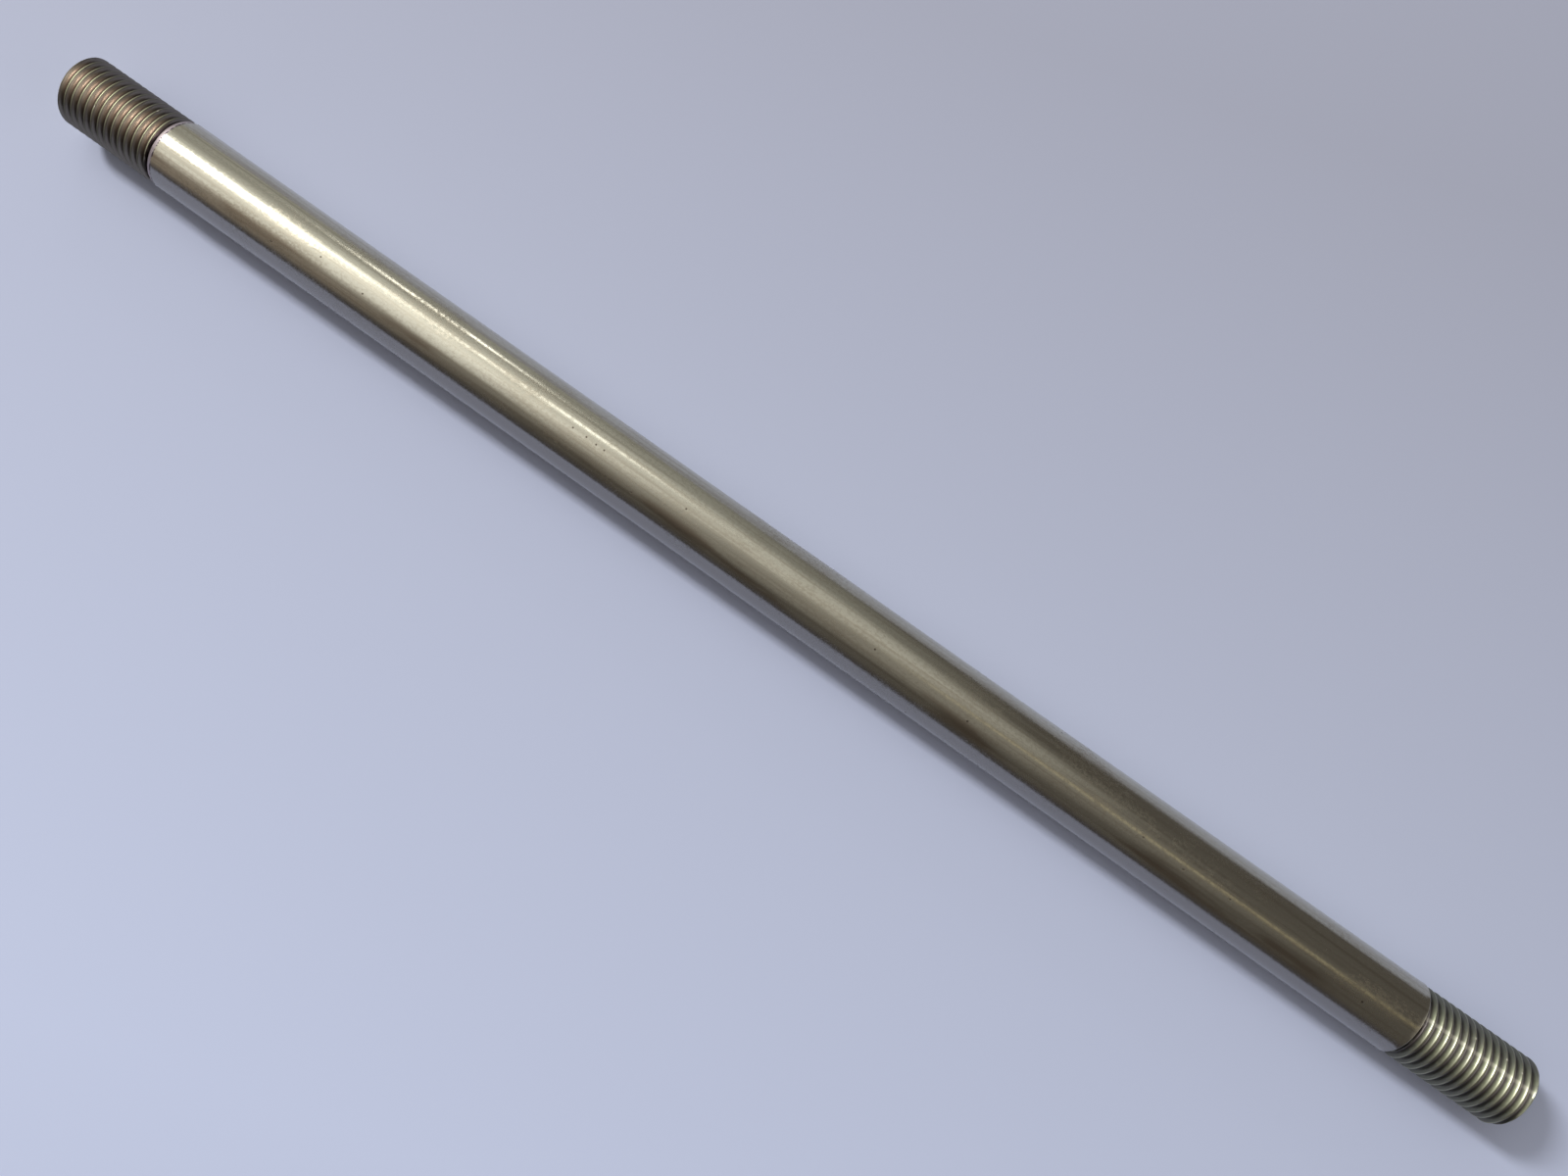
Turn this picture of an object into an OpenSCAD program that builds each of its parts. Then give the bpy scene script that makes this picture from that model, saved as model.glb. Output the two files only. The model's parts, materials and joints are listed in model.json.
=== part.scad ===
// Double-ended stud: a plain ground shank with an external thread at each end.
// Millimetres. The stud lies along X, Z is up, the origin is the middle of its axis.
// Each thread is drawn as its plain blank, a true cylinder of the major diameter.

/* [Shank] */
// Diameter of the plain shank
shank_d = 9.525; // [6:0.005:20]
// Length of the plain shank from shoulder to shoulder
shank_l = 183.6; // [40:0.1:320]

/* [Threads] */
// Pitch of both threads
pitch = 1.0583; // [0.5:0.0001:1.75]
// Amount by which the major diameter of both threads is smaller than the shank
thread_undersize = 0.175; // [0:0.005:0.5]
// Length from the left shoulder to the left tip
left_thread_l = 15.3; // [8:0.1:60]
// Length from the right shoulder to the right tip
right_thread_l = 15.1; // [8:0.1:60]
// Lead chamfer at both tips
tip_chamfer = 0.4; // [0.2:0.05:1.5]

/* [Shoulders] */
// Length of the taper that ends the shank on the left
left_taper_l = 0.9; // [0.2:0.05:2]
// Length of the taper that ends the shank on the right
right_taper_l = 0.4; // [0.2:0.05:2]
// Width of the run-out groove between each taper and its thread
runout_w = 0.2; // [0.1:0.05:1.5]

/* [Parts] */
// Part to draw

/* [Hidden] */

shank_r = shank_d / 2;
thread_r = (shank_d - thread_undersize) / 2;
// Depth of a 60 degree unified thread, from its crest to its rounded root
thread_depth = 17 / 24 * pitch * sin(60);
root_r = thread_r - thread_depth;
// The thread flank leans 30 degrees from the plane across the axis
flank_l = thread_depth * tan(30);
tip_r = thread_r - tip_chamfer;

total_l = left_thread_l + shank_l + right_thread_l;
x_left_tip = -total_l / 2;
x_left_shoulder = x_left_tip + left_thread_l;
x_right_shoulder = x_left_shoulder + shank_l;
x_right_tip = total_l / 2;

steel = [0.62, 0.61, 0.56];
$fn = 96;

// Half section of the stud: one corner [radius, distance along the axis] after another
function half_section() = [
    [0, x_left_tip],
    [tip_r, x_left_tip],
    [thread_r, x_left_tip + tip_chamfer],
    [thread_r, x_left_shoulder - left_taper_l - runout_w - flank_l],
    [root_r, x_left_shoulder - left_taper_l - runout_w],
    [root_r, x_left_shoulder - left_taper_l],
    [shank_r, x_left_shoulder],
    [shank_r, x_right_shoulder],
    [root_r, x_right_shoulder + right_taper_l],
    [root_r, x_right_shoulder + right_taper_l + runout_w],
    [thread_r, x_right_shoulder + right_taper_l + runout_w + flank_l],
    [thread_r, x_right_tip - tip_chamfer],
    [tip_r, x_right_tip],
    [0, x_right_tip],
];

module stud() {
    color(steel)
        rotate([0, 90, 0])
            rotate_extrude()
                polygon(half_section());
}

stud();
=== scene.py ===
# %% [markdown]
# # A double-ended stud in ground steel
# A stud is a bolt without a head: a plain round shank with a thread on each end, so that one end can
# be screwed into a block while the other takes a nut. This one is a little thicker than a pencil and
# about as long as a spread hand is wide, and it lies on a pale sheet.
# The solid model that comes in the frame has the blanks of the threads but not their helix. This
# lesson cuts the helix, gives the steel the finish of a ground bar and lights it so that it reads.

# %% Load the fixed model
import json
import math

import bmesh
import bpy
from mathutils import Matrix, Vector


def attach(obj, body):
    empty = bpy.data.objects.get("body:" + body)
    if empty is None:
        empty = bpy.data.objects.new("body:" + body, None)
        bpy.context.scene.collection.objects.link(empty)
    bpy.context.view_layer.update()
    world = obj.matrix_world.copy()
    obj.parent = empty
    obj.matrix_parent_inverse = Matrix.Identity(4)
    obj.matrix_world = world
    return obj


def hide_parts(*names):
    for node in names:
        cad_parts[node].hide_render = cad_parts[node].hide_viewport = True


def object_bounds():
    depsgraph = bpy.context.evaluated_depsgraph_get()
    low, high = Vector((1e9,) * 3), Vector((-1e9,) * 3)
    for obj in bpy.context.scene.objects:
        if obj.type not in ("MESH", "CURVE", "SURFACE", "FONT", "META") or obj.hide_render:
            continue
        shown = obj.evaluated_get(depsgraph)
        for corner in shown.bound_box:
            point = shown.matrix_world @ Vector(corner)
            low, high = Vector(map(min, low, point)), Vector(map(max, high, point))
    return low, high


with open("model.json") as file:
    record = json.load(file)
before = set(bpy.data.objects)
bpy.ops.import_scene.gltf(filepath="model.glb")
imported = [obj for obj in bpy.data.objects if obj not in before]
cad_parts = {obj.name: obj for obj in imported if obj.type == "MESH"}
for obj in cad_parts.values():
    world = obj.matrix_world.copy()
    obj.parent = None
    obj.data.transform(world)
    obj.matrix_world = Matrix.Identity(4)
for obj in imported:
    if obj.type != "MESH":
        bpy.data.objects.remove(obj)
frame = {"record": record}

cad_low, cad_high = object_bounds()
print("the solid model spans", [round(v * 1000, 2) for v in cad_high - cad_low], "mm")

# %% [markdown]
# ## Sizes
# Two copies of one number always drift apart, so every size that the solid model knows is read from
# it: the mounts give the radii and the ends of the shank and of the threads, and the box gives the
# tips. Only what the solid leaves out is given here as a number.

# %% Sizes from the frame
MM = 0.001
mounts = {mount["name"]: mount for mount in frame["record"]["mounts"]}


def radius_of(name):
    return mounts[name]["dims"]["r_mm"] * MM


def ends_of(name):
    middle = mounts[name]["pos_m"][0]
    half = mounts[name]["dims"]["length_mm"] * MM / 2
    return middle - half, middle + half


shank_radius = radius_of("shank")
shank_left, shank_right = ends_of("shank")
thread_radius = radius_of("left_thread")
tip_left, tip_right = cad_low.x, cad_high.x
tip_chamfer = ends_of("left_thread")[0] - tip_left
print("shank", round((shank_right - shank_left) / MM, 1), "mm, chamfer", round(tip_chamfer / MM, 2), "mm")

# %% [markdown]
# ## Sizes of the thread
# The thread has 24 turns to the inch, and the form of a 60 degree thread follows from its pitch by the
# usual rules: the root lies 17/24 of a sharp thread's height below the crest, the crest is an eighth
# of a pitch wide, and the root is rounded. Two small departures make it look used: the corners of the
# crest are rounded, and the flanks swell by a few hundredths of a millimetre. The taper at each
# shoulder ends in the thread's foot, and the place of one crest says where each helix starts.

# %% Sizes of the thread
PITCH = 25.4 / 24 * MM
FLANK_LEAN = math.radians(30)
thread_depth = 17 / 24 * PITCH * math.sin(math.radians(60))
root_radius = thread_radius - thread_depth
root_round = 0.1443 * PITCH
crest_flat = PITCH / 8
crest_round = 0.02 * MM
flank_crown = 0.028 * MM

LEFT_TAPER = 0.9 * MM
RIGHT_TAPER = 0.4 * MM
left_foot = shank_left - LEFT_TAPER
right_foot = shank_right + RIGHT_TAPER
left_crest = -92.885 * MM
right_crest = 93.065 * MM
print("thread depth", round(thread_depth / MM, 3), "mm, root radius", round(root_radius / MM, 3), "mm")

# %% [markdown]
# ## One tooth
# A thread could be a bump map, but then its outline would stay a plain cylinder and its flanks would
# never shade each other, so it is modelled. Its section is the same at every turn: a narrow crest with
# rounded corners, two flanks that lean 30 degrees and swell a little, and a rounded root. One tooth is
# a short row of points, from the middle of one root to the middle of the next.

# %% The section of one tooth
SEGMENTS = 144


def rising_side():
    """Points (distance from the crest, radius) from the middle of the root to the edge of the crest."""
    points = []
    for degrees in (0, 30, 60):
        turn = math.radians(degrees)
        points.append((-PITCH / 2 + root_round * math.sin(turn),
                       root_radius + root_round * (1 - math.cos(turn))))
    foot = points[-1]
    edge = (-crest_flat / 2 - crest_round * math.sin(FLANK_LEAN),
            thread_radius - crest_round * math.cos(FLANK_LEAN))
    for share in (0.25, 0.5, 0.75, 1.0):
        swell = flank_crown * 4 * share * (1 - share)
        points.append((foot[0] + (edge[0] - foot[0]) * share - swell * math.cos(FLANK_LEAN),
                       foot[1] + (edge[1] - foot[1]) * share + swell * math.sin(FLANK_LEAN)))
    points.append((-crest_flat / 2 + crest_round, thread_radius))
    return points


rising = rising_side()
falling = [(-along, radius) for along, radius in reversed(rising)]
tooth = rising + falling[:-1]
print("one tooth has", len(tooth), "points")

# %% [markdown]
# ## The helix
# The Screw modifier could do this, but spin does it in one call and leaves a mesh that can be cut
# and joined. The row of teeth is spun once round the axis while it moves one pitch along it. The end
# of the turn then falls on the start of the next tooth, and merging doubles closes the seam into
# one endless helical surface. The surface starts beyond both ends and is cut to length with a plane.
# Spin turns by the right-hand rule round +X while it moves towards +X, so the thread is right-handed.

# %% Spin the teeth into a helix
SEAM = 0.002 * MM
CUT = 0.0001 * MM


def wire(bm, points):
    """A chain of edges through (x, radius) points, drawn straight above the axis."""
    verts = [bm.verts.new((x, 0, radius)) for x, radius in points]
    edges = [bm.edges.new(pair) for pair in zip(verts, verts[1:])]
    return verts, edges


def helix(crest, low, high):
    """A helical surface with a crest at the top at x = crest, cut square at low and high."""
    bm = bmesh.new()
    first = math.floor((low - crest) / PITCH) - 2
    last = math.ceil((high - crest) / PITCH) + 1
    points = [(crest + turn * PITCH + along, radius)
              for turn in range(first, last) for along, radius in tooth]
    verts, edges = wire(bm, points)
    bmesh.ops.spin(bm, geom=verts + edges, cent=(0, 0, 0), axis=(1, 0, 0), angle=math.tau,
                   dvec=(PITCH / SEGMENTS, 0, 0), steps=SEGMENTS, use_merge=False)
    bmesh.ops.remove_doubles(bm, verts=bm.verts, dist=SEAM)
    for place, outward in ((low, -1), (high, 1)):
        everything = bm.verts[:] + bm.edges[:] + bm.faces[:]
        bmesh.ops.bisect_plane(bm, geom=everything, dist=CUT, plane_co=(place, 0, 0),
                               plane_no=(outward, 0, 0), clear_outer=True)
    return bm


# %% [markdown]
# ## The blank under the thread
# On the lathe the end of the bar is turned before the die cuts it: a chamfer at the tip, and a groove
# at the shoulder where the die stops. So the finished surface is the lower of the helix and the
# blank, and every vertex that stands above the blank is drawn in to it. The chamfer is drawn a little
# off centre, deeper on one side than on the other, as a chamfer put on by hand would be.

# %% Draw the helix in to the blank
GROOVE = 0.02 * MM
RUNOUT = 0.12 * MM
OFF_CENTRE = 0.5


def blank_radius(v, tip, foot):
    side = 1 if tip > foot else -1
    from_tip = (tip - v.co.x) * side
    from_foot = (v.co.x - foot) * side
    lean = v.co.y / math.hypot(v.co.y, v.co.z)
    at_tip = thread_radius - tip_chamfer * (1 - OFF_CENTRE * lean) + from_tip
    at_foot = root_radius + max(0.0, from_foot - GROOVE) * thread_depth / RUNOUT
    return min(thread_radius, at_tip, at_foot)


def draw_in(bm, tip, foot):
    moved = 0
    for v in bm.verts:
        radius = math.hypot(v.co.y, v.co.z)
        limit = blank_radius(v, tip, foot)
        if radius > limit:
            v.co.y *= limit / radius
            v.co.z *= limit / radius
            moved += 1
    return moved


# %% [markdown]
# ## Nicks
# Crests are thin, so each knock against another part leaves a small flat dent on them. The dents are
# listed one by one: how far along, at what angle from the top, and how wide and deep. A vertex inside
# a dent moves towards the axis, most in the middle, as with a soft sculpting brush.

# %% Press the nicks in
NICKS = ((98.0, -30, 0.30, 0.07), (99.7, -31, 0.28, 0.06), (99.9, -16, 0.28, 0.07),
         (100.7, 4, 0.28, 0.07), (104.5, -30, 0.26, 0.05), (96.1, 31, 0.30, 0.05),
         (103.6, 44, 0.30, 0.06), (97.2, 150, 0.34, 0.08), (-95.1, -36, 0.26, 0.05),
         (-101.4, 18, 0.26, 0.05), (-98.3, 160, 0.32, 0.08), (-104.6, 95, 0.30, 0.07))
NICK_RADIUS = 4.6


def press(bm, x, angle, reach, depth):
    """Dents the surface round a point; angle is in degrees from the top towards -Y."""
    turn = math.radians(angle)
    centre = Vector((x, -math.sin(turn) * NICK_RADIUS, math.cos(turn) * NICK_RADIUS)) * MM
    for v in bm.verts:
        far = (v.co - centre).length / (reach * MM)
        if far < 1:
            share = depth * MM * (1 - far * far) / math.hypot(v.co.y, v.co.z)
            v.co.y *= 1 - share
            v.co.z *= 1 - share


# %% [markdown]
# ## Both threads
# Both ends are made by the same steps in the same order as on the lathe: helix, blank, nicks. The rim
# at the tip is still open, and filling that loop of edges gives the end face. The rim at the foot
# stays open, because the shank is joined to it there.

# %% Make both threads
RIM = 0.01 * MM


def open_rim(bm, x):
    """The edges of the open rim that lies across the axis at x."""
    return [e for e in bm.edges if e.is_boundary and all(abs(v.co.x - x) < RIM for v in e.verts)]


def thread(crest, tip, foot):
    bm = helix(crest, min(tip, foot), max(tip, foot))
    moved = draw_in(bm, tip, foot)
    for nick in NICKS:
        if nick[0] * tip > 0:
            press(bm, *nick)
    caps = bmesh.ops.edgeloop_fill(bm, edges=open_rim(bm, tip))["faces"]
    print("thread:", len(bm.faces), "faces,", moved, "points drawn in,", len(caps), "end face")
    return bm


left_thread = thread(left_crest, tip_left, left_foot)
right_thread = thread(right_crest, tip_right, right_foot)

# %% [markdown]
# ## The shank
# The shank is the simplest lathe work there is: half a section spun round the axis. What makes it
# look made and not drawn is its two ends. On the left the bar is bevelled twice, first hardly at all
# and then down to the root of the thread. On the right the tool has pushed up a fine burr at the
# corner, two hundredths of a millimetre high, which catches the light as a bright hair line. A ring of
# points a little inside each end keeps the smooth shading of the long straight faces even.

# %% Spin the shank
GAP = 0.03 * MM
BEVEL_ROUND = 0.05 * MM
left_bevel = (shank_left - 0.60 * MM, shank_radius - 0.17 * MM)
burr = ((shank_right - 0.10 * MM, shank_radius), (shank_right - 0.04 * MM, shank_radius + 0.02 * MM),
        (shank_right, shank_radius))
straight = ((shank_left, shank_radius), (shank_left + 0.5 * MM, shank_radius),
            (shank_right - 0.6 * MM, shank_radius))
section = ((left_foot + GAP, root_radius), left_bevel, *straight, *burr, (right_foot - GAP, root_radius))

shank = bmesh.new()
verts, edges = wire(shank, section)
bmesh.ops.bevel(shank, geom=verts[1:3], offset=BEVEL_ROUND, segments=2, profile=0.5,
                affect="VERTICES", material=-1)
bmesh.ops.spin(shank, geom=shank.verts[:] + shank.edges[:], cent=(0, 0, 0), axis=(1, 0, 0),
               angle=math.tau, dvec=(0, 0, 0), steps=SEGMENTS, use_merge=True)
print("the shank has", len(shank.faces), "faces")

# %% [markdown]
# ## One closed shell
# The three lengths meet in two narrow gaps, which a bridge of faces closes. After that the stud must
# be one closed shell with its faces outwards, so every edge is tested for two faces and the volume is
# printed: a negative volume would mean that the shell is inside out.

# %% Join the lengths
def add_to(bm, other):
    carrier = bpy.data.meshes.new("carrier")
    other.to_mesh(carrier)
    bm.from_mesh(carrier)
    bpy.data.meshes.remove(carrier)
    other.free()


stud_bm = bmesh.new()
for length in (left_thread, shank, right_thread):
    add_to(stud_bm, length)
for outer, inner in ((left_foot, left_foot + GAP), (right_foot, right_foot - GAP)):
    rims = open_rim(stud_bm, outer) + open_rim(stud_bm, inner)
    bmesh.ops.bridge_loops(stud_bm, edges=rims)
bmesh.ops.recalc_face_normals(stud_bm, faces=stud_bm.faces)
loose = [e for e in stud_bm.edges if not e.is_manifold]
print("edges without two faces:", len(loose), "volume:", round(stud_bm.calc_volume() / MM ** 3), "mm3")

# %% [markdown]
# ## Zones and shading
# The finish changes from zone to zone, so each face gets a material slot by where it lies: shank,
# left thread, right thread and the two end faces. The shading is smooth, but an edge where two faces
# meet at more than 35 degrees is marked sharp, so crests and corners stay crisp.

# %% Give each face its zone
SHANK, LEFT, RIGHT, END = range(4)
SHARP = math.radians(35)
FACING_ALONG = 0.99
PAST_SHANK = 0.02 * MM
for face in stud_bm.faces:
    face.smooth = True
    face.material_index = SHANK
    x = face.calc_center_median().x
    if abs(face.normal.x) > FACING_ALONG and (x < tip_left + RIM or x > tip_right - RIM):
        face.material_index = END
    elif x < left_bevel[0]:
        face.material_index = LEFT
    elif x > shank_right + PAST_SHANK:
        face.material_index = RIGHT
for edge in stud_bm.edges:
    if edge.is_manifold and edge.calc_face_angle() > SHARP:
        edge.smooth = False

stud_mesh = bpy.data.meshes.new("double_ended_stud")
stud_bm.to_mesh(stud_mesh)
stud_bm.free()
stud = bpy.data.objects.new("double_ended_stud", stud_mesh)
bpy.context.scene.collection.objects.link(stud)
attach(stud, "root")
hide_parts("stud")
print("triangles:", sum(len(p.vertices) - 2 for p in stud_mesh.polygons))

# %% [markdown]
# ## Steel in nodes
# All zones are one steel in different states, so they share a small helper that places and wires
# nodes. A value goes into a socket either as a link or as a plain number, and feed tells which. A ramp
# turns a measure into a mask, and a blend lays one colour over another where a mask says so. The Mix
# node has sockets for numbers, vectors and colours, and those for colours are found by their place.

# %% A helper for metal materials
COLOUR_A, COLOUR_B, COLOUR_OUT = 6, 7, 2


class Finish:
    """Places and wires the nodes of one metal finish."""

    def __init__(self, name):
        self.material = bpy.data.materials.new(name)
        self.material.use_nodes = True
        self.nodes = self.material.node_tree.nodes
        self.links = self.material.node_tree.links
        self.shader = self.nodes["Principled BSDF"]
        self.shader.inputs["Metallic"].default_value = 1.0
        self.place = self.nodes.new("ShaderNodeTexCoord").outputs["Object"]

    def feed(self, value, socket):
        if isinstance(value, bpy.types.NodeSocket):
            self.links.new(value, socket)
        else:
            socket.default_value = value

    def math(self, operation, *values):
        node = self.nodes.new("ShaderNodeMath")
        node.operation = operation
        for value, socket in zip(values, node.inputs):
            self.feed(value, socket)
        return node.outputs[0]

    def ramp(self, value, low, high, at_low=0.0, at_high=1.0):
        node = self.nodes.new("ShaderNodeMapRange")
        node.interpolation_type = "SMOOTHSTEP"
        self.links.new(value, node.inputs["Value"])
        for name, number in (("From Min", low), ("From Max", high), ("To Min", at_low), ("To Max", at_high)):
            node.inputs[name].default_value = number
        return node.outputs["Result"]

    def fade(self, value, low, high):
        """One up to low, and nothing from high on."""
        return self.ramp(value, low, high, 1.0, 0.0)

    def blend(self, share, first, second):
        node = self.nodes.new("ShaderNodeMix")
        node.data_type = "RGBA"
        self.feed(share, node.inputs[0])
        for colour, socket in ((first, node.inputs[COLOUR_A]), (second, node.inputs[COLOUR_B])):
            self.feed(colour if isinstance(colour, bpy.types.NodeSocket) else (*colour, 1), socket)
        return node.outputs[COLOUR_OUT]


# %% [markdown]
# ## Grain and relief
# Patterns are read in Object coordinates, which are metres here, so a noise scale of 2000 means
# features of half a millimetre, whatever the size of the mesh. A Mapping node stretches the noise, so
# that a small scale along X draws streaks. Relief comes from bumps that are chained, each on top of
# the one below.

# %% Noise and bumps
def noise(finish, scale, detail, vector=None):
    """Noise with its own scale per metre along X, Y and Z."""
    node = finish.nodes.new("ShaderNodeTexNoise")
    stretch = finish.nodes.new("ShaderNodeMapping")
    stretch.inputs["Scale"].default_value = scale
    finish.links.new(vector or finish.place, stretch.inputs["Vector"])
    finish.links.new(stretch.outputs["Vector"], node.inputs["Vector"])
    node.inputs["Scale"].default_value = 1.0
    node.inputs["Detail"].default_value = detail
    return node.outputs["Fac"]


def bump(finish, height, depth, below=None):
    node = finish.nodes.new("ShaderNodeBump")
    node.inputs["Distance"].default_value = depth
    finish.links.new(height, node.inputs["Height"])
    if below is not None:
        finish.links.new(below, node.inputs["Normal"])
    return node.outputs["Normal"]


# %% [markdown]
# ## Where a point lies
# The parts of its place say how far along and how far across a point lies. Its distance from the axis
# tells root from crest: it is the length of the place once X is set to nothing. A noise that reads
# only that distance draws rings.

# %% Helpers for places
def parts_of_place(finish):
    """X, Y and Z of the place as separate outputs."""
    parts = finish.nodes.new("ShaderNodeSeparateXYZ")
    finish.links.new(finish.place, parts.inputs[0])
    return parts.outputs["X"], parts.outputs["Y"], parts.outputs["Z"]


def distance_from_axis(finish):
    flat = finish.nodes.new("ShaderNodeVectorMath")
    flat.operation = "MULTIPLY"
    finish.links.new(finish.place, flat.inputs[0])
    flat.inputs[1].default_value = (0, 1, 1)
    length = finish.nodes.new("ShaderNodeVectorMath")
    length.operation = "LENGTH"
    finish.links.new(flat.outputs["Vector"], length.inputs[0])
    return length.outputs["Value"]


def ring_marks(finish, radius, scale, detail):
    """Noise that depends on the distance from the axis alone, so it draws rings."""
    rings = finish.nodes.new("ShaderNodeCombineXYZ")
    finish.links.new(radius, rings.inputs[0])
    return noise(finish, (scale, 1, 1), detail, rings.outputs[0])


# %% [markdown]
# ## Single spots
# A few marks are too particular for a noise, so they are listed one by one: how far along in
# millimetres, and at what angle from the top. Each is the distance from one point, turned into a
# round mask, and the masks are joined by taking the greatest.

# %% Spots given one by one
SPOT_CORE = 0.4


def specks(finish, places, reach):
    """A mask of small round spots; a place is x in mm and degrees from the top towards -Y."""
    spots = None
    for x, angle in places:
        turn = math.radians(angle)
        far = finish.nodes.new("ShaderNodeVectorMath")
        far.operation = "DISTANCE"
        finish.links.new(finish.place, far.inputs[0])
        spot = Vector((x * MM, -math.sin(turn) * shank_radius, math.cos(turn) * shank_radius))
        far.inputs[1].default_value = spot
        mask = finish.fade(far.outputs["Value"], reach * SPOT_CORE, reach)
        spots = mask if spots is None else finish.math("MAXIMUM", spots, mask)
    return spots


# %% [markdown]
# ## The colours of the steel
# Metal has no colour but that of its reflection, so these are tints of what it mirrors. Clean ground
# steel is a warm grey. Wear, oil and the brown band are darker, and most of them are browner too. Some
# dark tones are painted shade: along the lower side of the shank, towards both sides of the threads
# and in the groove at the left shoulder. The bare metal of a fresh mark is the palest, and it also
# paints a highlight stripe on the right thread.

# %% Colours of the steel
STEEL = (0.53, 0.51, 0.415)
DULL = (0.36, 0.325, 0.25)
LOWER_SIDE_SHADE = (0.29, 0.277, 0.262)
BEVEL = (0.36, 0.30, 0.325)
SIDE_SHADE = (0.085, 0.08, 0.072)
OIL = (0.11, 0.085, 0.062)
SHADE = (0.06, 0.045, 0.058)
BROWN_BAND = (0.27, 0.215, 0.155)
BARE_AND_HIGHLIGHT = (0.74, 0.71, 0.60)

# %% [markdown]
# ## The ground shank
# A ground bar is bright but not a mirror. Its grain is a fine mottle that breaks up the edge of every
# reflection, over which lie long faint streaks from drawing, cloudy patches from handling and a few
# dark pits, some tenths of a millimetre across. Painting them would need an image, so they are made
# from noises. The pits come from Voronoi cells: every cell draws a number, and only one that draws a
# high number gets a pit.

# %% Pits
PIT_CORE, PIT_EDGE = 0.03, 0.08
NO_PIT, PIT = 0.72, 0.75


def small_pits(finish):
    cells = finish.nodes.new("ShaderNodeTexVoronoi")
    spread = finish.nodes.new("ShaderNodeMapping")
    spread.inputs["Scale"].default_value = (330, 520, 520)
    finish.links.new(finish.place, spread.inputs["Vector"])
    finish.links.new(spread.outputs["Vector"], cells.inputs["Vector"])
    cells.inputs["Scale"].default_value = 1.0
    chance = finish.nodes.new("ShaderNodeSeparateColor")
    finish.links.new(cells.outputs["Color"], chance.inputs["Color"])
    near = finish.fade(cells.outputs["Distance"], PIT_CORE, PIT_EDGE)
    return finish.math("MULTIPLY", near, finish.ramp(chance.outputs[0], NO_PIT, PIT))


# %% [markdown]
# ## Layers of wear, dirt and painted shade
# The colour is built up in layers: clean steel first, then what has dulled it, then what lies on top.
# That is a brown band along the side towards -Y, broken by a noise, below it a darker grey that is
# painted shade, dimming the pale sheet that this side mirrors, and oil in the pits and spots. Every
# layer is a blend with its own mask, so each can be changed alone.

# %% The shank's layers of colour
SPOTS = ((-66.5, 7), (-59.6, 16), (-28.8, -1), (-26.8, -1), (-25.3, 0), (-24.1, 0), (-11.9, 1), (16.1, 10),
         (29.8, 18), (85.0, 21), (40.1, -61))
SPOT_REACH = 0.16 * MM
BROWN_BAND_PLACE = 2.4 * MM
OIL_IN_PITS = 0.8


def worn_colour(finish, streaks, grain, dull):
    colour = finish.blend(finish.ramp(streaks, 0.42, 0.72, at_high=0.65), STEEL, DULL)
    colour = finish.blend(finish.ramp(grain, 0.42, 0.70, at_high=0.4), colour, DULL)
    return finish.blend(dull, colour, DULL)


def dirt_and_shade_colour(finish, colour, across, pits):
    """Adds the brown band, the painted shade along the side towards -Y, the pits and the spots."""
    # A brown band along the side towards -Y, broken by a noise.
    off_brown_band = finish.math("ABSOLUTE", finish.math("ADD", across, BROWN_BAND_PLACE))
    brown_band = finish.math("MULTIPLY", finish.ramp(off_brown_band, 0.3 * MM, 1.2 * MM, at_low=0.7, at_high=0.0),
                        finish.ramp(noise(finish, (60, 420, 420), 4.0), 0.46, 0.62))
    colour = finish.blend(brown_band, colour, BROWN_BAND)
    # Painted shade: a darker grey along the side towards -Y dims the pale sheet that this side mirrors.
    colour = finish.blend(finish.fade(across, -3.5 * MM, -2.7 * MM), colour, LOWER_SIDE_SHADE)
    colour = finish.blend(finish.math("MULTIPLY", pits, OIL_IN_PITS), colour, OIL)
    return finish.blend(specks(finish, SPOTS, SPOT_REACH), colour, OIL)


# %% [markdown]
# ## The left shoulder
# On the bevel the steel has a lilac cast, and round its edge runs a broken dark ring. The place of
# both depends on the length alone, so they need no second mesh, and a noise breaks the ring up.

# %% The shoulder's bevel and ring
RING_PLACE = shank_left - 0.03 * MM
LILAC_SHARE = 0.8


def bevel_and_ring(finish, along):
    bevel = finish.fade(along, shank_left - 0.06 * MM, shank_left - 0.01 * MM)
    corner = finish.math("ABSOLUTE", finish.math("SUBTRACT", along, RING_PLACE))
    ring = finish.math("MULTIPLY", finish.fade(corner, 0.06 * MM, 0.15 * MM),
                       finish.ramp(noise(finish, (900, 2400, 2400), 1.0), 0.38, 0.52))
    return bevel, ring


# %% [markdown]
# ## The shank put together
# Grain and streaks are bumps of a few thousandths of a millimetre, and pits are three times as deep.
# Dull places, the bevel, the ring and the pits are also rougher than the clean steel, because what
# spoils a polish spoils its colour and its gloss together.

# %% The shank's finish
FINE_RELIEF = 0.004 * MM
PIT_RELIEF = 0.012 * MM
MOST_DULL = 0.75
MORE_ON_BEVEL, MORE_ON_RING, MORE_IN_PITS = 0.30, 0.25, 0.3


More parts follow.
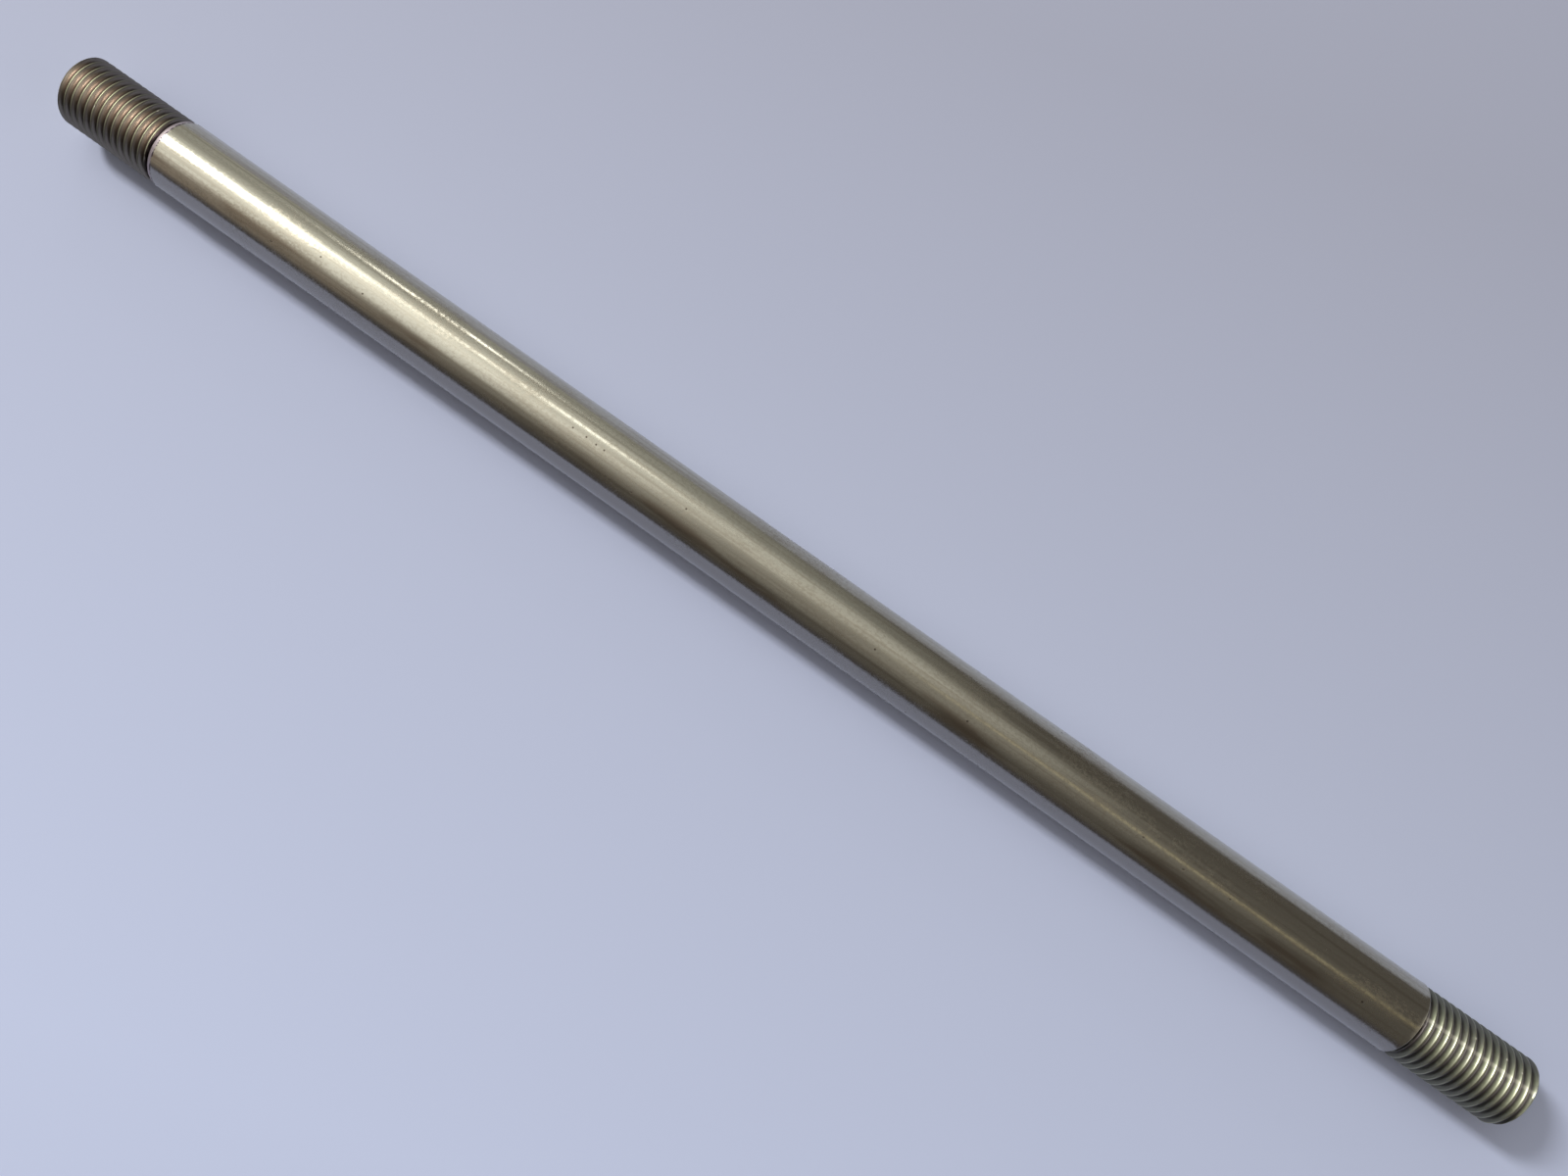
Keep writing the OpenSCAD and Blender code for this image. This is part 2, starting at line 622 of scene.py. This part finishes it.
def ground_shank():
    finish = Finish("ground_shank")
    streaks = noise(finish, (40, 2300, 2300), 3.0)
    grain = noise(finish, (2300, 3300, 3300), 3.0)
    clouds = noise(finish, (75, 230, 230), 3.0)
    along, across, _ = parts_of_place(finish)
    pits = small_pits(finish)
    patch = finish.math("MULTIPLY", finish.ramp(clouds, 0.46, 0.66),
                        finish.ramp(grain, 0.35, 0.62, at_low=0.25, at_high=0.85))
    dull = finish.math("MULTIPLY", patch, MOST_DULL)
    bevel, ring = bevel_and_ring(finish, along)

    colour = dirt_and_shade_colour(finish, worn_colour(finish, streaks, grain, dull), across, pits)
    colour = finish.blend(finish.math("MULTIPLY", bevel, LILAC_SHARE), colour, BEVEL)
    finish.feed(finish.blend(ring, colour, SHADE), finish.shader.inputs["Base Color"])

    rough = finish.math("ADD", finish.ramp(dull, 0.0, 0.6, at_low=0.16, at_high=0.25),
                        finish.ramp(grain, 0.4, 0.75, at_high=0.08))
    for mask, more in ((bevel, MORE_ON_BEVEL), (ring, MORE_ON_RING), (pits, MORE_IN_PITS)):
        rough = finish.math("ADD", rough, finish.math("MULTIPLY", mask, more))
    finish.feed(rough, finish.shader.inputs["Roughness"])

    relief = bump(finish, grain, FINE_RELIEF)
    relief = bump(finish, streaks, FINE_RELIEF, relief)
    relief = bump(finish, finish.math("SUBTRACT", 1.0, pits), PIT_RELIEF, relief)
    finish.feed(relief, finish.shader.inputs["Normal"])
    return finish.material


# %% [markdown]
# ## The threads
# A die leaves torn, rough flanks, oil and dirt stay in the roots, and nuts and hands wear the crests.
# So most of the finish is driven by one measure, the distance from the axis: dark at the root and up
# the lower flank, partly oil and partly painted shade where one turn shades the next, dull on the
# flank, another tone at the crest. Tool marks run along the helix, which on a flank means that they
# depend on the radius alone. Both sides are painted darker than the top as painted shade, and the
# groove at the left shoulder is painted darkest, as painted shade in that recess.

# %% The threads' layers of colour
SIDE_SHADE_FROM = 0.9 * MM
SIDE_SHADE_TO = 3.8 * MM
FLANK_SIDE_SHADE = 0.75


def flank_colour(finish, root, flank, radius, marks, aside):
    patches = noise(finish, (350, 350, 350), 2.0)
    # Towards the root the flank takes the root's dark tone: oil, and painted shade where the next turn
    # shades the flank.
    deep = finish.fade(radius, root_radius + 0.08 * MM, root_radius + 0.42 * MM)
    colour = finish.blend(finish.ramp(patches, 0.42, 0.7, at_high=0.45), flank, root)
    colour = finish.blend(finish.ramp(marks, 0.4, 0.7, at_high=0.3), colour, root)
    colour = finish.blend(deep, colour, root)
    # Painted shade: the flanks are painted darker towards both sides.
    return finish.blend(finish.ramp(aside, SIDE_SHADE_FROM, SIDE_SHADE_TO, at_high=FLANK_SIDE_SHADE), colour, SIDE_SHADE)


def dark_groove(finish, along):
    # Painted shade in the groove at the left shoulder.
    groove = finish.ramp(along, left_foot - 0.06 * MM, left_foot)
    left_half = finish.fade(along, 0.0, 1.0 * MM)
    return finish.math("MULTIPLY", groove, left_half)


# %% [markdown]
# ## A painted highlight and bruised steel
# The right thread has a painted highlight: it is painted brighter along one line on its upper side,
# where its roots mirror a light. Small bright bruises show where crests were struck. Some lie on the
# dents that were pressed into the mesh, and others are scuffs that only change the colour.

# %% Painted highlight stripe and bruises
BRUISES = ((97.7, -25), (98.3, -32), (99.65, -26), (101.2, -29), (102.45, -33), (104.5, -29), (100.0, 16),
           (99.3, -3), (-95.1, -36), (-101.4, 18))
BRUISE_REACH = 0.24 * MM
HIGHLIGHT_PLACE = 1.05 * MM


def bare_steel_and_highlight(finish, across, up, highlight_share):
    off_highlight = finish.math("ABSOLUTE", finish.math("SUBTRACT", across, HIGHLIGHT_PLACE))
    # Painted highlight: a lighter stripe on the upper side, where the roots mirror a light.
    highlight = finish.math("MULTIPLY", finish.fade(off_highlight, 0.12 * MM, 0.32 * MM), finish.ramp(up, 0, MM))
    bruises = specks(finish, BRUISES, BRUISE_REACH)
    return finish.math("MAXIMUM", finish.math("MULTIPLY", highlight, highlight_share), bruises)


# %% [markdown]
# ## A thread put together
# One function makes the finish of both threads, because they differ only in tones, gloss, painted side
# shade and the painted highlight stripe. The line between flank and crest is shifted a little by the
# grain, so it isn't drawn with a ruler. Grain and tool marks also stand up as bumps.

# %% The threads' finish
MORE_ON_BARE_AND_HIGHLIGHT = 0.2
RAGGED = 0.05 * MM


def cut_thread(name, tones, roughness, crest_side_shade, highlight_share):
    """tones are those of root, flank and crest; roughness is that of flank and crest."""
    finish = Finish(name)
    root, flank, crest = tones
    radius = distance_from_axis(finish)
    grain = noise(finish, (4200, 4200, 4200), 3.0)
    marks = ring_marks(finish, radius, 15000, 2.0)
    along, across, up = parts_of_place(finish)
    aside = finish.math("ABSOLUTE", across)
    worn = finish.ramp(finish.math("ADD", radius, finish.math("MULTIPLY", grain, RAGGED)),
                       thread_radius - 0.03 * MM, thread_radius + 0.02 * MM)
    bare_and_highlight = bare_steel_and_highlight(finish, across, up, highlight_share)

    colour = flank_colour(finish, root, flank, radius, marks, aside)
    # Painted shade: the crests are painted darker towards both sides too.
    crest = finish.blend(finish.ramp(aside, SIDE_SHADE_FROM, SIDE_SHADE_TO, at_high=crest_side_shade), crest, SIDE_SHADE)
    colour = finish.blend(worn, colour, crest)
    # Painted shade in the groove at the left shoulder.
    colour = finish.blend(dark_groove(finish, along), colour, SHADE)
    finish.feed(finish.blend(bare_and_highlight, colour, BARE_AND_HIGHLIGHT), finish.shader.inputs["Base Color"])

    rough = finish.math("ADD", finish.ramp(worn, 0.0, 1.0, *roughness),
                        finish.ramp(grain, 0.4, 0.8, at_high=0.1))
    rough = finish.math("ADD", rough, finish.math("MULTIPLY", bare_and_highlight, MORE_ON_BARE_AND_HIGHLIGHT))
    finish.feed(rough, finish.shader.inputs["Roughness"])
    relief = bump(finish, grain, FINE_RELIEF)
    finish.feed(bump(finish, marks, FINE_RELIEF, relief), finish.shader.inputs["Normal"])
    return finish.material


# %% [markdown]
# ## The end faces
# The tips were faced on the lathe, so they carry fine rings round the centre, and a hand has dulled
# them. A noise that reads only the distance from the axis gives the rings.

# %% The end faces' finish
RING_RELIEF = 0.01 * MM


def faced_end():
    finish = Finish("faced_end")
    marks = ring_marks(finish, distance_from_axis(finish), 9000, 3.0)
    stains = noise(finish, (500, 500, 500), 3.0)
    colour = finish.blend(finish.ramp(stains, 0.42, 0.7, at_high=0.7), STEEL, DULL)
    colour = finish.blend(finish.ramp(marks, 0.45, 0.8, at_high=0.4), colour, OIL)
    finish.feed(colour, finish.shader.inputs["Base Color"])
    rough = finish.ramp(stains, 0.3, 0.7, at_low=0.26, at_high=0.38)
    finish.feed(rough, finish.shader.inputs["Roughness"])
    finish.feed(bump(finish, marks, RING_RELIEF), finish.shader.inputs["Normal"])
    return finish.material


# %% [markdown]
# ## Finishes on their zones
# The slots are filled in the order of the zones. The left thread is the old, brown one with matt
# crests, and the right thread is brighter and has a painted highlight stripe.

# %% Give each zone its finish
# The dark root tones stand for oil and for painted shade in the hollows.
LEFT_TONES = ((0.32, 0.26, 0.22), (0.50, 0.44, 0.37), (0.36, 0.36, 0.235))
RIGHT_TONES = ((0.30, 0.27, 0.265), (0.42, 0.445, 0.30), (0.42, 0.42, 0.305))
stud_mesh.materials.append(ground_shank())
stud_mesh.materials.append(cut_thread("left_thread_steel", LEFT_TONES, (0.32, 0.52), 0.75, 0.0))
stud_mesh.materials.append(cut_thread("right_thread_steel", RIGHT_TONES, (0.40, 0.34), 0.35, 0.4))
stud_mesh.materials.append(faced_end())
for finished in stud_mesh.materials:
    print(finished.name, "has", len(finished.node_tree.nodes), "nodes")

# %% [markdown]
# ## The sheet
# The stud lies on a plain pale sheet. It only has to be there: to catch the shadow and to give the
# steel something pale to mirror along its sides. It is a stage and not a part of the object.

# %% Lay the sheet
SHEET_SIZE = 4
bpy.ops.mesh.primitive_plane_add(size=SHEET_SIZE, location=(0, 0, -shank_radius))
floor = bpy.context.object
floor.name = "pale_floor"
print("the sheet lies", round(shank_radius / MM, 2), "mm below the axis")

# %% [markdown]
# ## The tone of the sheet
# The sheet has a touch of lavender, and its tone runs slowly from a darker side to a paler one: this
# is painted light and shade, as if the sheet were lit from one side. A dot product measures how far a
# point lies the paler way, and the paint follows that measure, so it needs no image and no lamp.

# %% Give the sheet its tone
PALER_WAY = (0.293, -1.022, 0)
FADE_REACH = 85 * MM
DARK_SIDE = (0.37, 0.388, 0.48, 1)
PALE_SIDE = (0.53, 0.585, 0.765, 1)
sheet = bpy.data.materials.new("pale_sheet")
sheet.use_nodes = True
sheet_shader = sheet.node_tree.nodes["Principled BSDF"]
sheet_place = sheet.node_tree.nodes.new("ShaderNodeTexCoord")
sheet_down = sheet.node_tree.nodes.new("ShaderNodeVectorMath")
sheet_down.operation = "DOT_PRODUCT"
sheet_down.inputs[1].default_value = PALER_WAY
sheet_fade = sheet.node_tree.nodes.new("ShaderNodeMapRange")
sheet_fade.inputs["From Min"].default_value = -FADE_REACH
sheet_fade.inputs["From Max"].default_value = FADE_REACH
sheet_tint = sheet.node_tree.nodes.new("ShaderNodeMix")
sheet_tint.data_type = "RGBA"
sheet_tint.inputs[COLOUR_A].default_value = DARK_SIDE
sheet_tint.inputs[COLOUR_B].default_value = PALE_SIDE
sheet_links = sheet.node_tree.links
sheet_links.new(sheet_place.outputs["Object"], sheet_down.inputs[0])
sheet_links.new(sheet_down.outputs["Value"], sheet_fade.inputs["Value"])
sheet_links.new(sheet_fade.outputs["Result"], sheet_tint.inputs[0])
sheet_links.new(sheet_tint.outputs[COLOUR_OUT], sheet_shader.inputs["Base Color"])
sheet_shader.inputs["Roughness"].default_value = 0.9
sheet_shader.inputs["Specular IOR Level"].default_value = 0.1
floor.data.materials.append(sheet)
print("the sheet's paint has", len(sheet.node_tree.nodes), "nodes")

# %% [markdown]
# ## The camera
# The camera looks almost straight down from about 14 centimetres, close enough that the near middle
# looks thicker than the ends. It is rolled so that the stud runs across the image from corner to
# corner. A camera looks along its own -Z, so its matrix is built from three directions: right, up and
# backwards.

# %% Place the camera
CAMERA_PLACE = Vector((10.940, -15.451, 143.365)) * MM
CAMERA_AIM = Vector((2.852, -0.597, 0.0)) * MM
CAMERA_ROLL = math.radians(-35.477)

camera_data = bpy.data.cameras.new("camera")
camera_data.sensor_width = 36
camera_data.lens = 27
camera_data.clip_start = 0.001
camera = bpy.data.objects.new("camera", camera_data)
bpy.context.scene.collection.objects.link(camera)
look = (CAMERA_AIM - CAMERA_PLACE).normalized()
level = look.cross(Vector((0, 1, 0))).normalized()
up = level.cross(look) * math.cos(CAMERA_ROLL) + level * math.sin(CAMERA_ROLL)
right = look.cross(up)
camera.matrix_world = Matrix.Translation(CAMERA_PLACE) @ Matrix((right, up, -look)).transposed().to_4x4()
bpy.context.scene.camera = camera
print("the camera stands", round(CAMERA_PLACE.length / MM), "mm from the stud")

# %% [markdown]
# ## The light
# Polished metal has no look of its own: it shows the room. So the room is made first, as soft glows
# in the world shader. Each glow is full near its own direction and fades with the angle from it,
# which a dot product gives. A direction is given by two angles: how far it leans from straight up
# towards the left tip, and how far it is tilted round the stud's axis.

# %% Directions
def toward(lean, tilt):
    """A unit direction: lean degrees from straight up towards -X, tilted round X towards +Y."""
    a, b = math.radians(lean), math.radians(tilt)
    return Vector((-math.sin(a), math.cos(a) * math.sin(b), math.cos(a) * math.cos(b)))


# %% [markdown]
# ## A room of soft glows
# An image of a studio would do this too, but a few glows in the world shader need no file, and each
# can be moved by itself. A glow is a lean, a tilt, an inner and an outer angle and a colour.

# %% Make the room
ROOM = (0.120, 0.110, 0.104)
GLOWS = ((36.4, -9.6, 0, 30, (0.92, 0.92, 0.92)), (14.9, 21.5, 0, 36, (0.53, 0.53, 0.52)),
         (15, -12.3, 0, 47, (0.23, 0.22, 0.21)), (44.3, -56, 0, 27, (0.22, 0.18, 0.16)),
         (39.4, 60, 19, 54, (0.33, 0.34, 0.33)), (-62, 12, 0, 24, (0.95, 0.88, 0.82)))
world = bpy.data.worlds.new("room")
world.use_nodes = True
world_nodes, world_links = world.node_tree.nodes, world.node_tree.links
direction = world_nodes.new("ShaderNodeTexCoord").outputs["Generated"]
light = None
for lean, tilt, inner, outer, colour in GLOWS:
    facing = world_nodes.new("ShaderNodeVectorMath")
    facing.operation = "DOT_PRODUCT"
    facing.inputs[1].default_value = toward(lean, tilt)
    world_links.new(direction, facing.inputs[0])
    fade = world_nodes.new("ShaderNodeMapRange")
    fade.interpolation_type = "SMOOTHSTEP"
    fade.inputs["From Min"].default_value = math.cos(math.radians(outer))
    fade.inputs["From Max"].default_value = math.cos(math.radians(inner))
    world_links.new(facing.outputs["Value"], fade.inputs["Value"])
    add = world_nodes.new("ShaderNodeVectorMath")
    add.operation = "MULTIPLY_ADD"
    add.inputs[1].default_value = colour
    add.inputs[2].default_value = ROOM
    world_links.new(fade.outputs["Result"], add.inputs[0])
    if light is not None:
        world_links.new(light, add.inputs[2])
    light = add.outputs["Vector"]
world_links.new(light, world_nodes["Background"].inputs["Color"])
bpy.context.scene.world = world
print("the room has", len(GLOWS), "glows")

# %% [markdown]
# ## Lamps
# Four soft boxes finish the light. The key stands beyond the left tip and gives the shadow along the
# stud and beyond its right tip. The long box hangs high and the short box low on the far side, and the
# left half of the shank draws each out into a bright line. The faint warm box does the same on the
# right half, much more weakly. Each is given by the two directions between which it hangs.

# %% Hang the soft boxes
def soft_box(name, start, end, width, distance, radiance, tint=(1, 1, 1)):
    """A flat lamp between two directions, width degrees across, that faces the stud."""
    one, two = toward(*start), toward(*end)
    back = (one + two).normalized()
    along = (two - one).normalized()
    data = bpy.data.lights.new(name, "AREA")
    data.shape = "RECTANGLE"
    data.size = (two - one).length * distance
    data.size_y = math.radians(width) * distance
    data.energy = radiance * math.pi * data.size * data.size_y
    data.color = tint
    lamp = bpy.data.objects.new(name, data)
    bpy.context.scene.collection.objects.link(lamp)
    turn = Matrix((along, back.cross(along), back)).transposed().to_4x4()
    lamp.matrix_world = Matrix.Translation(back * distance) @ turn
    print(name, "gives", round(data.energy, 1), "W")


soft_box("key_box", (41, 15), (54, 13.7), 7.5, 1.0, 80)
soft_box("long_box", (51, 5), (11.5, 31.5), 6.0, 2.0, 2.0)
soft_box("short_box", (28.5, 61.5), (21, 63.5), 5.0, 2.0, 4.5)
soft_box("faint_box", (-5, -5), (-42, -9), 7.0, 2.0, 0.26, (1.0, 0.88, 0.55))
bpy.context.scene.view_settings.view_transform = "Standard"
